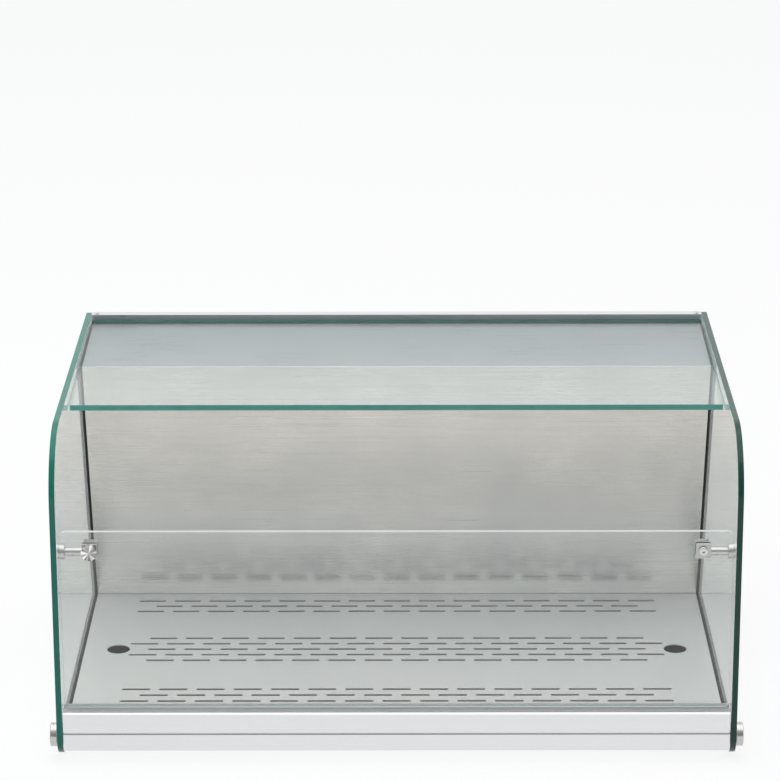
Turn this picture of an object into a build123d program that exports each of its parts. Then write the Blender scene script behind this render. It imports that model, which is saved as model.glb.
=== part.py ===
"""Countertop refrigerated display case.

Two side glasses carry a sloping top glass, a low front pane that swings on two swivel clamps, an aluminium
front profile and a slotted lift-out tray. The cooling set sits behind a leaning back wall.

Millimetres. Origin: centre of the footprint, on the surface that the case stands on.
X to the right, Y to the back, Z up. The open display side faces -Y.
"""

from build123d import *
import os
from math import atan2, cos, radians, sin, tan

# Overall sizes
case_width = 700.0
case_depth = 460.0
glass_height = 348.0
glass_lift = 4.0
glass_thickness = 6.0
glass_front_radius = 70.0
glass_foot_radius = 30.0
glass_rear_radius = 4.0

# Distances below are counted back from the front edge of the side glasses and up from their bottom edge
seal_width = 3.0
seal_height = 5.0
steel = 1.0
frame_steel = 1.2
fit_gap = 0.4
base_bottom = 10.5

# Front profile
profile_face = 2.0
profile_top = 53.0
profile_top_depth = 25.0
profile_ledge_depth = 40.0
profile_wall = 2.0
profile_lip_height = 3.0
profile_groove_bottom = 28.6
profile_groove_top = 32.7
profile_groove_depth = 2.5

# Tray
tray_top = 33.0
tray_depth = 331.6
tray_back = 392.6
tray_skirt_inset = 5.0
slot_length_share = 0.78
slot_width = 4.5
slot_row_pitch = 15.8
slot_group_offset = 128.0
slots_in_long_row = 15
slot_pitch = (case_width - 107.5) / slots_in_long_row
slot_length = slot_pitch * slot_length_share
finger_hole_diameter = 25.0
finger_hole_offset = case_width / 2 - 46.0

# Rear housing
wall_foot = 393.0
wall_head = 294.0
wall_head_height = glass_height - 17.0
top_slope = 2.0
wall_skirt = 7.0
wall_flange = 14.0
screw_rail_size = 10.0
rear_panel_inside = 456.0
liner_floor_top = 21.0
pan_floor = 1.2

# Top glass and rear rail
top_glass_front = 167.0
top_glass_gap = 1.0
rail_depth = 12.0
rail_height = 15.0
rail_wall = 2.0
rail_back = 459.0
rail_screw_inset = 6.0
rail_screw_hole_diameter = 3.2
rail_screw_diameter = 3.0
rail_screw_head_diameter = 5.6
rail_screw_head_height = 1.4
rail_screw_head_radius = 1.0

# Front pane and its clamps
pane_width = case_width - 15.0
pane_thickness = 5.0
pane_front = 15.0
pane_above_clamp = 19.5
pane_clearance = 0.8
pane_corner_radius = 6.0
clamp_offset = pane_width / 2 - 30.75
clamp_height = 227.0
pane_top = clamp_height + pane_above_clamp
swivel_height = clamp_height - 6.0
clamp_square = 15.5
clamp_block_depth = 16.0
clamp_block_height = clamp_height - 3.25
clamp_bar_diameter = 9.0
clamp_pin_diameter = 5.0
clamp_jaw_thickness = 2.5
clamp_pad_thickness = 0.8
clamp_chamfer = 0.6
clamp_jaw_chamfer = 0.5
clamp_bolt_diameter = 5.0
bolt_clearance = 0.2
running_clearance = 0.05
swivel_flange_diameter = 16.5
swivel_flange_thickness = 5.6
swivel_shank_diameter = 9.8
swivel_hole_diameter = 10.0
knob_diameter = 16.3
knob_thickness = 6.9
screw_head_diameter = 9.5
screw_head_height = 3.2
screw_head_radius = 1.6
screw_socket_radius = 1.7
screw_socket_depth = 2.0

# Glass caps
cap_diameter = 25.0
cap_thickness = 7.5
cap_back = 22.0
cap_height = 21.0
cap_stud_diameter = 8.0
cap_stud_length = 26.0
cap_washer_thickness = 1.0
cap_washer_diameter = 22.0
sleeve_diameter = 11.8
sleeve_hole_diameter = 12.0
block_length = 24.0

# Rear glass screws
rear_screw_back = 432.0
rear_screw_heights = (60.0, glass_height - 63.0)
rear_screw_diameter = 5.0
rear_screw_head_diameter = 11.0
rear_screw_head_height = 3.0
rear_nut_height = 4.0
rear_nut_diameter = 9.2

# Feet
foot_diameter = 32.0
foot_spacing_x = case_width - 100.0
foot_front = 75.0
foot_spacing_y = 325.0
foot_screw_diameter = 5.0
foot_recess_diameter = 12.0
foot_recess_depth = 8.0
foot_chamfer = 1.5
foot_screw_head_diameter = 9.0
foot_screw_head_height = 3.0
foot_nut_radius = 4.6
foot_nut_height = 3.0
foot_screw_reach = 3.5

# Cooling set
cold_room_right = case_width / 2 - 280.0
foam_thickness = 12.0
foam_top = glass_height - 30.0
coil_tube_diameter = 8.0
coil_hole_clearance = 0.3
coil_overhang = 8.0
coil_rows = 4
coil_pitch = 25.0
fin_thickness = 0.6
end_plate_thickness = 1.5
evaporator_left = 50.0 - case_width / 2
evaporator_width = cold_room_right - 40.0 - evaporator_left
evaporator_fin_pitch = 10.0
evaporator_back = 425.0
evaporator_depth = 30.0
evaporator_bottom = 100.0
fan_size = 80.0
fan_depth = 25.0
fan_corner_radius = 5.0
fan_bore_wall = 2.0
fan_hub_diameter = 30.0
fan_hub_plate = 3.0
fan_shaft_diameter = 3.0
fan_tip_gap = 1.5
fan_blades = 7
fan_blade_chord = 22.0
fan_blade_thickness = 1.6
fan_blade_pitch = 35.0
fan_hole_spacing = 71.5
fan_plate_height = 245.0
fan_plate_thickness = 1.5
fan_back = 398.0
fan_offsets = (("left", -215.0), ("right", -55.0))
compressor_offset = case_width / 2 - 215.0
compressor_back = 412.0
compressor_diameter = 76.0
compressor_height = 135.0
compressor_end_radius = 14.0
foot_plate_width = 102.0
foot_plate_depth = 58.0
foot_plate_thickness = 2.5
shelf_top = 132.0
shelf_thickness = 2.0
shelf_flange = 30.0
shelf_front = 379.0
grommet_height = 8.0
grommet_diameter = 14.0
grommet_spacing_x = 86.0
grommet_spacing_y = 44.0
condenser_left = case_width / 2 - 154.0
condenser_width = 112.0
condenser_fin_pitch = 8.0
condenser_back = 438.0
condenser_depth = 28.0
condenser_bottom = 188.0
drier_offset = case_width / 2 - 147.0
drier_back = 430.0
drier_bottom = 108.0
drier_length = 66.0
drier_diameter = 16.0
pipe_diameter = 6.0
pipe_bend_radius = 6.0
wire_diameter = 5.0
wire_bend_radius = 8.0

# Controls on the rear panel
controller_offset = case_width / 2 - 105.0
controller_height = 90.0
controller_width = 70.0
controller_tall = 28.0
controller_length = 52.0
bezel_margin = 4.0
bezel_thickness = 2.6
button_width = 7.0
button_tall = 5.0
button_travel = 0.5
button_pitch = 10.0
button_gap = 0.3
button_length = 3.0
cutout_gap = 0.4
window_width = 30.0
window_tall = 15.0
switch_offset = case_width / 2 - 52.0
switch_height = 90.0
switch_width = 22.0
switch_tall = 30.0
switch_length = 20.0
switch_bezel_margin = 2.0
switch_bezel_thickness = 1.6
switch_wall = 1.7
rocker_pivot_diameter = 3.0
rocker_tilt = 8.0
rocker_tall = 24.0
rocker_pivot_back = 454.6
rocker_inner = 4.0
rocker_outer = 2.6
inlet_offset = case_width / 2 - 52.0
inlet_height = 50.0
inlet_width = 27.0
inlet_tall = 20.0
inlet_length = 20.0
inlet_flange_width = 50.0
inlet_flange_tall = 24.0
inlet_flange_thickness = 2.4
inlet_recess_depth = 15.0
inlet_pin_length = 9.0
inlet_wall = 1.8

# Values worked out from the sizes above
front = -case_depth / 2
half_glass = case_width / 2 - glass_thickness
half_steel = half_glass - seal_width
half_inside = half_steel - frame_steel
wall_rise = wall_head_height - tray_top
lean = atan2(wall_foot - wall_head, wall_rise)
slope = radians(top_slope)
wall_length = (wall_foot - wall_head) / sin(lean)
rear_panel_outside = rear_panel_inside + frame_steel
tray_front = tray_back - tray_depth
tray_middle = tray_back - tray_depth / 2
pane_back = pane_front + pane_thickness
pane_bottom = profile_top + pane_clearance
pane_lip_front = pane_back + fit_gap
jaw_front = pane_front - clamp_pad_thickness - clamp_jaw_thickness
block_front = pane_back + clamp_pad_thickness
bar_back = block_front + clamp_block_depth / 2
swivel_face = half_glass - swivel_flange_thickness
rail_front = rail_back - rail_depth
rail_bottom = glass_height - rail_height
ledge_top = tray_top - steel
condenser_middle = condenser_left + condenser_width / 2
condenser_centre = condenser_bottom + coil_pitch * coil_rows / 2
sides = (("left", -1), ("right", 1))

os.makedirs("parts", exist_ok=True)


def across(x):
    """Upright plane across X: local x runs back from the glass front edge, local y up from its bottom."""
    return Plane(origin=(x, front, glass_lift), x_dir=(0, 1, 0), z_dir=(1, 0, 0))


def level(z):
    """Level plane: local x is X, local y runs back from the glass front edge."""
    return Plane(origin=(0, front, glass_lift + z), x_dir=(1, 0, 0), z_dir=(0, 0, 1))


def facing(y):
    """Upright plane that faces the customer: local x is X, local y up from the glass bottom."""
    return Plane(origin=(0, front + y, glass_lift), x_dir=(1, 0, 0), z_dir=(0, -1, 0))


def save(part, label):
    """Label a finished piece and write its file."""
    part.label = label
    export_step(part, f"parts/{label}.step")


# The housing top slopes: local x is X, local y runs back from the head of the leaning wall
top_plane = Plane(
    origin=(0, front + wall_head, glass_lift + wall_head_height),
    x_dir=(1, 0, 0),
    z_dir=(0, -sin(slope), cos(slope)),
)
# The back wall leans: local x is X, local y runs up the wall from the tray seam
wall_plane = Plane(
    origin=(0, front + wall_foot, glass_lift + tray_top),
    x_dir=(1, 0, 0),
    z_dir=(0, -cos(lean), -sin(lean)),
)


def top_reach(y):
    """Distance along the housing top from the wall's head to a place y behind the front edge."""
    return (y - wall_head) / cos(slope)


def top_rise(y):
    """Height of the housing top at a place y behind the front edge."""
    return wall_head_height + (y - wall_head) * tan(slope)


def wall_behind(z, behind=0.0):
    """How far back the leaning wall's front face is at height z, plus a distance square to it."""
    return wall_foot - (z - tray_top) * tan(lean) + behind / cos(lean)


# Side glasses: one outline, pierced for the swivel, the cap and the two rear screws
for side, sign in sides:
    with BuildPart() as side_glass:
        with BuildSketch(across(sign * half_glass)):
            Rectangle(case_depth, glass_height, align=(Align.MIN, Align.MIN))
            fillet(vertices().group_by(Axis.X)[0].sort_by(Axis.Y)[-1], glass_front_radius)
            fillet(vertices().group_by(Axis.X)[-1], glass_rear_radius)
            fillet(vertices().group_by(Axis.Y)[0].sort_by(Axis.X)[0], glass_foot_radius)
            with Locations((bar_back, swivel_height)):
                Circle(swivel_hole_diameter / 2, mode=Mode.SUBTRACT)
            with Locations((cap_back, cap_height), *[(rear_screw_back, z) for z in rear_screw_heights]):
                Circle(sleeve_hole_diameter / 2, mode=Mode.SUBTRACT)
        extrude(amount=sign * glass_thickness)
    save(side_glass.part, f"side_glass_{side}")


# Top glass, bonded to the housing top
glass_rear_reach = top_reach(rail_front - top_glass_gap)
with BuildPart() as top_glass:
    with BuildSketch(top_plane):
        with Locations((0, top_reach(top_glass_front))):
            Rectangle(
                2 * half_glass - 2,
                glass_rear_reach - top_reach(top_glass_front),
                align=(Align.CENTER, Align.MIN),
            )
        fillet(vertices(), 2)
    extrude(amount=glass_thickness)
save(top_glass.part, "top_glass")


# Front profile: a two-chamber extrusion with a groove along its face and a lip that stops the pane
profile_front_outline = (
    (profile_face, profile_groove_top),
    (profile_face, profile_top - 1.5),
    (profile_face + 1.5, profile_top),
    (pane_lip_front, profile_top),
    (pane_lip_front, profile_top + profile_lip_height),
    (pane_lip_front + profile_wall, profile_top + profile_lip_height),
    (pane_lip_front + profile_wall, profile_top),
    (profile_top_depth, profile_top),
    (profile_top_depth, ledge_top),
    (profile_ledge_depth, ledge_top),
    (profile_ledge_depth, base_bottom),
    (profile_face + 2, base_bottom),
    (profile_face + 0.5, base_bottom + 1.5),
    (profile_face + 0.5, profile_groove_bottom),
    (profile_face + profile_groove_depth, profile_groove_bottom),
    (profile_face + profile_groove_depth, profile_groove_top),
)
chamber_front = profile_face + profile_groove_depth + profile_wall
chamber_back = profile_ledge_depth - profile_wall
chamber_bottom = base_bottom + profile_wall
chamber_top = ledge_top - profile_wall
with BuildPart() as front_profile:
    with BuildSketch(across(-half_glass + fit_gap)):
        with BuildLine():
            Polyline(*profile_front_outline, close=True)
        make_face()
        with Locations((chamber_front, chamber_bottom)):
            Rectangle(
                chamber_back - chamber_front,
                chamber_top - chamber_bottom,
                align=(Align.MIN, Align.MIN),
                mode=Mode.SUBTRACT,
            )
        with Locations((profile_face + profile_wall, profile_groove_top + profile_wall)):
            Rectangle(
                profile_top_depth - profile_face - 2 * profile_wall,
                profile_top - profile_groove_top - 2 * profile_wall,
                align=(Align.MIN, Align.MIN),
                mode=Mode.SUBTRACT,
            )
    extrude(amount=2 * (half_glass - fit_gap))
save(front_profile.part, "front_profile")

with BuildPart() as profile_end_blocks:
    for side, sign in sides:
        with BuildSketch(across(sign * (half_glass - fit_gap))):
            with Locations(((chamber_front + chamber_back) / 2, (chamber_bottom + chamber_top) / 2)):
                Rectangle(chamber_back - chamber_front, chamber_top - chamber_bottom)
            with Locations((cap_back, cap_height)):
                Circle(cap_stud_diameter / 2 + bolt_clearance / 2, mode=Mode.SUBTRACT)
        extrude(amount=-sign * block_length)
save(profile_end_blocks.part, "profile_end_blocks")


# Glass caps: turned heads with a stud through the side glass into the end blocks
for side, sign in sides:
    seat = sign * (case_width / 2 + cap_washer_thickness)
    with BuildPart() as glass_cap:
        with BuildSketch(across(seat)):
            with Locations((cap_back, cap_height)):
                Circle(cap_diameter / 2)
        extrude(amount=sign * cap_thickness)
        rim = glass_cap.edges().filter_by(GeomType.CIRCLE)
        chamfer(rim, 0.8)
        with BuildSketch(across(seat + sign * cap_thickness / 2)):
            with Locations((cap_back, cap_height)):
                Circle(cap_diameter / 2 + 1)
                Circle(cap_diameter / 2 - 0.7, mode=Mode.SUBTRACT)
        extrude(amount=0.6, both=True, mode=Mode.SUBTRACT)
        with BuildSketch(across(seat)):
            with Locations((cap_back, cap_height)):
                Circle(cap_stud_diameter / 2)
        extrude(amount=-sign * cap_stud_length)
    save(glass_cap.part, f"glass_cap_{side}")

with BuildPart() as cap_washers:
    for side, sign in sides:
        with BuildSketch(across(sign * case_width / 2)):
            with Locations((cap_back, cap_height)):
                Circle(cap_washer_diameter / 2)
                Circle(cap_stud_diameter / 2 + bolt_clearance, mode=Mode.SUBTRACT)
        extrude(amount=sign * cap_washer_thickness)
save(cap_washers.part, "cap_washers")

with BuildPart() as glass_sleeves:
    for side, sign in sides:
        with BuildSketch(across(sign * half_glass)):
            with Locations((cap_back, cap_height)):
                Circle(sleeve_diameter / 2)
                Circle(cap_stud_diameter / 2 + bolt_clearance, mode=Mode.SUBTRACT)
            with Locations(*[(rear_screw_back, z) for z in rear_screw_heights]):
                Circle(sleeve_diameter / 2)
                Circle(rear_screw_diameter / 2 + bolt_clearance, mode=Mode.SUBTRACT)
        extrude(amount=sign * glass_thickness)
save(glass_sleeves.part, "glass_sleeves")


# Side frames: base strip and housing end in one bent plate each
under_top = steel / cos(slope)
frame_head_height = wall_head_height - 2 * under_top
frame_outline = (
    (profile_ledge_depth + fit_gap, base_bottom + pan_floor),
    (rear_panel_inside, base_bottom + pan_floor),
    (rear_panel_inside, rail_bottom - fit_gap),
    (rail_front - 1, rail_bottom - fit_gap),
    (rail_front - 1, top_rise(rail_front - 1) - under_top),
    (wall_head + wall_flange, top_rise(wall_head + wall_flange) - under_top),
    (wall_behind(frame_head_height, steel), frame_head_height),
    (wall_behind(ledge_top, steel), ledge_top),
    (profile_ledge_depth + fit_gap, ledge_top),
)
rear_screw_places = [(rear_screw_back, z) for z in rear_screw_heights]
for side, sign in sides:
    with BuildPart() as side_frame:
        with BuildSketch(across(sign * half_inside)):
            with BuildLine():
                Polyline(*frame_outline, close=True)
            make_face()
            with Locations(*rear_screw_places):
                Circle(rear_screw_diameter / 2 + bolt_clearance, mode=Mode.SUBTRACT)
        extrude(amount=sign * frame_steel)
    save(side_frame.part, f"side_frame_{side}")

rear_screw_grip = frame_steel + seal_width + glass_thickness
with BuildPart() as rear_glass_screws:
    for side, sign in sides:
        with BuildSketch(across(sign * case_width / 2)):
            with Locations(*rear_screw_places):
                Circle(rear_screw_head_diameter / 2)
        extrude(amount=sign * rear_screw_head_height)
        with BuildSketch(across(sign * half_inside)):
            with Locations(*rear_screw_places):
                Circle(rear_screw_diameter / 2)
        extrude(amount=sign * rear_screw_grip)
        with BuildSketch(across(sign * half_inside)):
            with Locations(*rear_screw_places):
                RegularPolygon(rear_nut_diameter / 2, 6)
        extrude(amount=-sign * rear_nut_height)
save(rear_glass_screws.part, "rear_glass_screws")


# Base: pan, insulation and the liner that catches water under the tray
with BuildPart() as base_pan:
    with BuildSketch(level(base_bottom)):
        with Locations((0, profile_ledge_depth + fit_gap)):
            Rectangle(
                2 * half_steel,
                rear_panel_outside - profile_ledge_depth - fit_gap,
                align=(Align.CENTER, Align.MIN),
            )
        with Locations((0, foot_front + foot_spacing_y / 2)):
            with GridLocations(foot_spacing_x, foot_spacing_y, 2, 2):
                Circle(foot_screw_diameter / 2 + bolt_clearance, mode=Mode.SUBTRACT)
    extrude(amount=pan_floor)
save(base_pan.part, "base_pan")

insulation_top = liner_floor_top - steel
liner_back = rear_panel_inside - screw_rail_size - 1
foam_front = profile_ledge_depth + 2
foam_depth = liner_back - foam_front
with BuildPart() as base_insulation:
    with BuildSketch(level(base_bottom + pan_floor)):
        with Locations((0, foam_front)):
            Rectangle(2 * (half_inside - 1), foam_depth, align=(Align.CENTER, Align.MIN))
        with Locations((0, foot_front + foot_spacing_y / 2)):
            with GridLocations(foot_spacing_x, foot_spacing_y, 2, 2):
                Circle(foot_recess_diameter / 2, mode=Mode.SUBTRACT)
    extrude(amount=insulation_top - base_bottom - pan_floor)
save(base_insulation.part, "base_insulation")

liner_lip_back = tray_front - fit_gap
with BuildPart() as inner_liner:
    with BuildSketch(across(-half_inside + fit_gap)):
        with BuildLine():
            Polyline(
                (profile_top_depth + fit_gap, ledge_top),
                (liner_lip_back - steel, ledge_top),
                (liner_lip_back - steel, insulation_top),
                (liner_back, insulation_top),
                (liner_back, ledge_top),
                (liner_back - steel, ledge_top),
                (liner_back - steel, liner_floor_top),
                (liner_lip_back, liner_floor_top),
                (liner_lip_back, tray_top),
                (profile_top_depth + fit_gap, tray_top),
                close=True,
            )
        make_face()
    extrude(amount=2 * (half_inside - fit_gap))
    for side, sign in sides:
        with BuildSketch(across(sign * (half_inside - fit_gap))):
            with Locations((liner_lip_back - steel, insulation_top)):
                Rectangle(
                    liner_back - liner_lip_back + steel,
                    ledge_top - insulation_top,
                    align=(Align.MIN, Align.MIN),
                )
        extrude(amount=-sign * steel)
        with BuildSketch(across(sign * (half_inside - fit_gap))):
            with Locations((profile_top_depth + fit_gap, ledge_top)):
                Rectangle(
                    liner_lip_back - profile_top_depth - fit_gap,
                    steel,
                    align=(Align.MIN, Align.MIN),
                )
        extrude(amount=sign * (half_steel - half_inside + fit_gap))
save(inner_liner.part, "inner_liner")


# Tray: slotted plate with stiffening skirts; it lies on the side frames and stands on its skirts
tray_half = half_steel - fit_gap
row_offsets = []
for group, rows in ((-1, 3), (0, 5), (1, 3)):
    for row in range(rows):
        offset_in_group = (row - (rows - 1) / 2) * slot_row_pitch
        is_long = (row - (rows - 1) // 2) % 2 == 1
        row_offsets.append((group * slot_group_offset + offset_in_group, is_long))
with BuildPart() as display_tray:
    with BuildSketch(level(ledge_top)):
        with Locations((0, tray_front)):
            Rectangle(2 * tray_half, tray_depth, align=(Align.CENTER, Align.MIN))
        for offset_back, is_long in row_offsets:
            count = slots_in_long_row if is_long else slots_in_long_row - 1
            with Locations((0, tray_middle + offset_back)):
                with GridLocations(slot_pitch, 1, count, 1):
                    SlotOverall(slot_length, slot_width, mode=Mode.SUBTRACT)
        with Locations((-finger_hole_offset, tray_middle), (finger_hole_offset, tray_middle)):
            Circle(finger_hole_diameter / 2, mode=Mode.SUBTRACT)
    extrude(amount=steel)
    skirt_half = tray_half - tray_skirt_inset
    skirt_front = tray_front + tray_skirt_inset
    skirt_back = tray_back - tray_skirt_inset
    with BuildSketch(level(liner_floor_top)):
        for sign in (-1, 1):
            with Locations((sign * (skirt_half - steel / 2), (skirt_front + skirt_back) / 2)):
                Rectangle(steel, skirt_back - skirt_front)
        with Locations((0, skirt_front + steel / 2)):
            Rectangle(2 * skirt_half, steel)
    extrude(amount=ledge_top - liner_floor_top)
save(display_tray.part, "display_tray")


# Back wall and housing top; the wall's skirt hangs between the liner's side walls
skirt_half_width = half_inside - steel - 2 * fit_gap
with BuildPart() as back_wall:
    with BuildSketch(wall_plane):
        Rectangle(2 * half_steel, wall_length + 5, align=(Align.CENTER, Align.MIN))
        with Locations((0, -wall_skirt)):
            Rectangle(2 * skirt_half_width, wall_skirt, align=(Align.CENTER, Align.MIN))
    extrude(amount=-steel)
    split(bisect_by=top_plane.offset(-steel), keep=Keep.BOTTOM)
    with BuildSketch(top_plane.offset(-steel)):
        with Locations((0, steel)):
            Rectangle(2 * skirt_half_width, wall_flange, align=(Align.CENTER, Align.MIN))
    extrude(amount=-steel)
save(back_wall.part, "back_wall")

with BuildPart() as housing_top:
    with BuildSketch(top_plane):
        Rectangle(2 * half_steel, top_reach(rail_front - fit_gap), align=(Align.CENTER, Align.MIN))
    extrude(amount=-steel)
save(housing_top.part, "housing_top")


# Black seals that follow the tray, the leaning wall and the housing top against each side glass
def band(start, end, width):
    """Corners of a strip whose upper edge runs from start to end, and that lies to its right."""
    length = ((end[0] - start[0]) ** 2 + (end[1] - start[1]) ** 2) ** 0.5
    across_x = (end[1] - start[1]) / length * width
    across_y = -(end[0] - start[0]) / length * width
    return (start, end, (end[0] + across_x, end[1] + across_y), (start[0] + across_x, start[1] + across_y))


seal_foot = tray_top - seal_height / 2
seal_head = wall_head_height - seal_height / 2
for side, sign in sides:
    with BuildPart() as side_seal:
        with BuildSketch(across(sign * half_steel)):
            for start, end in (
                ((profile_ledge_depth, tray_top), (wall_foot + seal_height, tray_top)),
                ((wall_behind(seal_foot), seal_foot), (wall_behind(seal_head), seal_head)),
                ((wall_head, wall_head_height), (rail_front - 1, top_rise(rail_front - 1))),
            ):
                with BuildLine():
                    Polyline(*band(start, end, seal_height), close=True)
                make_face()
        extrude(amount=sign * seal_width)
    save(side_seal.part, f"side_seal_{side}")


# Rear top rail: a square tube between the side glasses, on the rear panel's top edge
with BuildPart() as rear_top_rail:
    with BuildSketch(across(-half_glass + fit_gap)):
        with Locations((rail_front, rail_bottom)):
            Rectangle(rail_depth, rail_height, align=(Align.MIN, Align.MIN))
            with Locations((rail_wall, rail_wall)):
                Rectangle(
                    rail_depth - 2 * rail_wall,
                    rail_height - 2 * rail_wall,
                    align=(Align.MIN, Align.MIN),
                    mode=Mode.SUBTRACT,
                )
    extrude(amount=2 * (half_glass - fit_gap))
    with BuildSketch(level(glass_height)):
        for sign in (-1, 1):
            with Locations((sign * (half_glass - rail_screw_inset), rail_front + rail_depth / 2)):
                Circle(rail_screw_hole_diameter / 2)
    extrude(amount=-rail_wall, mode=Mode.SUBTRACT)
save(rear_top_rail.part, "rear_top_rail")

with BuildPart() as rail_screws:
    for sign in (-1, 1):
        with BuildSketch(level(glass_height)):
            with Locations((sign * (half_glass - rail_screw_inset), rail_front + rail_depth / 2)):
                Circle(rail_screw_head_diameter / 2)
        extrude(amount=rail_screw_head_height)
        with BuildSketch(level(glass_height)):
            with Locations((sign * (half_glass - rail_screw_inset), rail_front + rail_depth / 2)):
                Circle(rail_screw_diameter / 2)
        extrude(amount=-rail_height / 2)
    fillet(rail_screws.faces().sort_by(Axis.Z)[-2:].edges(), rail_screw_head_radius)
save(rail_screws.part, "rail_screws")


# Front pane
pane_middle = (pane_bottom + pane_top) / 2
with BuildPart() as front_pane:
    with BuildSketch(facing(pane_back)):
        with Locations((0, pane_middle)):
            RectangleRounded(pane_width, pane_top - pane_bottom, pane_corner_radius)
        with Locations((-clamp_offset, clamp_height), (clamp_offset, clamp_height)):
            Circle(clamp_bolt_diameter / 2 + 1, mode=Mode.SUBTRACT)
    extrude(amount=pane_thickness)
save(front_pane.part, "front_pane")


# Swivel bushes in the side glasses, and the clamp bodies whose pins turn in them
pin_depth = 9.0
with BuildPart() as swivel_bushes:
    for side, sign in sides:
        with BuildSketch(across(sign * swivel_face)):
            with Locations((bar_back, swivel_height)):
                Circle(swivel_flange_diameter / 2)
        extrude(amount=sign * swivel_flange_thickness)
        with BuildSketch(across(sign * half_glass)):
            with Locations((bar_back, swivel_height)):
                Circle(swivel_shank_diameter / 2)
        extrude(amount=sign * (glass_thickness - 0.2))
        with BuildSketch(across(sign * swivel_face)):
            with Locations((bar_back, swivel_height)):
                Circle(clamp_pin_diameter / 2 + running_clearance)
        extrude(amount=sign * pin_depth, mode=Mode.SUBTRACT)
save(swivel_bushes.part, "swivel_bushes")

block_side = clamp_offset + clamp_square / 2
clamp_bolt_hole = clamp_bolt_diameter / 2 + bolt_clearance / 2
for side, sign in sides:
    with BuildPart() as clamp_body:
        with BuildSketch(facing(block_front + clamp_block_depth)):
            with Locations((sign * clamp_offset, clamp_block_height)):
                Rectangle(clamp_square, clamp_square)
        extrude(amount=clamp_block_depth)
        chamfer(clamp_body.edges().filter_by(Axis.Y), clamp_chamfer)
        with BuildSketch(across(sign * block_side)):
            with Locations((bar_back, swivel_height)):
                Circle(clamp_bar_diameter / 2)
        extrude(amount=sign * (swivel_face - fit_gap - block_side))
        with BuildSketch(across(sign * (swivel_face - fit_gap))):
            with Locations((bar_back, swivel_height)):
                Circle(clamp_pin_diameter / 2)
        extrude(amount=sign * (pin_depth - 1))
        with BuildSketch(facing(block_front)):
            with Locations((sign * clamp_offset, clamp_height)):
                Circle(clamp_bolt_hole)
        extrude(amount=-clamp_block_depth + 1, mode=Mode.SUBTRACT)
    save(clamp_body.part, f"clamp_body_{side}")

with BuildPart() as clamp_jaws:
    with BuildSketch(facing(jaw_front + clamp_jaw_thickness)):
        with Locations((-clamp_offset, clamp_height), (clamp_offset, clamp_height)):
            Rectangle(clamp_square, clamp_square)
            Circle(clamp_bolt_hole, mode=Mode.SUBTRACT)
    extrude(amount=clamp_jaw_thickness)
    chamfer(clamp_jaws.faces().sort_by(Axis.Y)[:2].edges().filter_by(GeomType.LINE), clamp_jaw_chamfer)
save(clamp_jaws.part, "clamp_jaws")

with BuildPart() as clamp_pads:
    for pad_front in (pane_front - clamp_pad_thickness, pane_back):
        with BuildSketch(facing(pad_front + clamp_pad_thickness)):
            with Locations((-clamp_offset, clamp_height), (clamp_offset, clamp_height)):
                Rectangle(clamp_square - 1, clamp_square - 1)
                Circle(clamp_bolt_hole, mode=Mode.SUBTRACT)
        extrude(amount=clamp_pad_thickness)
save(clamp_pads.part, "clamp_pads")

bolt_end = block_front + clamp_block_depth - 2
with BuildPart() as clamp_knob:
    with BuildSketch(facing(jaw_front)):
        with Locations((-clamp_offset, clamp_height)):
            Circle(knob_diameter / 2)
    extrude(amount=knob_thickness)
    chamfer(clamp_knob.edges().filter_by(GeomType.CIRCLE), clamp_chamfer)
    with BuildSketch(facing(jaw_front)):
        with Locations((-clamp_offset, clamp_height)):
            Circle(clamp_bolt_diameter / 2)
    extrude(amount=jaw_front - bolt_end)
save(clamp_knob.part, "clamp_knob")

with BuildPart() as clamp_screw:
    with BuildSketch(facing(jaw_front)):
        with Locations((clamp_offset, clamp_height)):
            Circle(screw_head_diameter / 2)
    extrude(amount=screw_head_height)
    fillet(clamp_screw.faces().sort_by(Axis.Y)[0].edges(), screw_head_radius)
    with BuildSketch(facing(jaw_front - screw_head_height)):
        with Locations((clamp_offset, clamp_height)):
            RegularPolygon(screw_socket_radius, 6)
    extrude(amount=-screw_socket_depth, mode=Mode.SUBTRACT)
    with BuildSketch(facing(jaw_front)):
        with Locations((clamp_offset, clamp_height)):
            Circle(clamp_bolt_diameter / 2)
    extrude(amount=jaw_front - bolt_end)
save(clamp_screw.part, "clamp_screw")


# Feet under the base pan
foot_height = glass_lift + base_bottom
with BuildPart() as feet:
    with BuildSketch(level(base_bottom)):
        with Locations((0, foot_front + foot_spacing_y / 2)):
            with GridLocations(foot_spacing_x, foot_spacing_y, 2, 2):
                Circle(foot_diameter / 2)
                Circle(foot_screw_diameter / 2 + bolt_clearance, mode=Mode.SUBTRACT)
    extrude(amount=-foot_height)
    with BuildSketch(level(-glass_lift)):
        with Locations((0, foot_front + foot_spacing_y / 2)):
            with GridLocations(foot_spacing_x, foot_spacing_y, 2, 2):
                Circle(foot_recess_diameter / 2)
    extrude(amount=foot_recess_depth, mode=Mode.SUBTRACT)
    chamfer(feet.edges().filter_by(GeomType.CIRCLE).group_by(Axis.Z)[0].sort_by(SortBy.RADIUS)[-4:], foot_chamfer)
save(feet.part, "feet")

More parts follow.
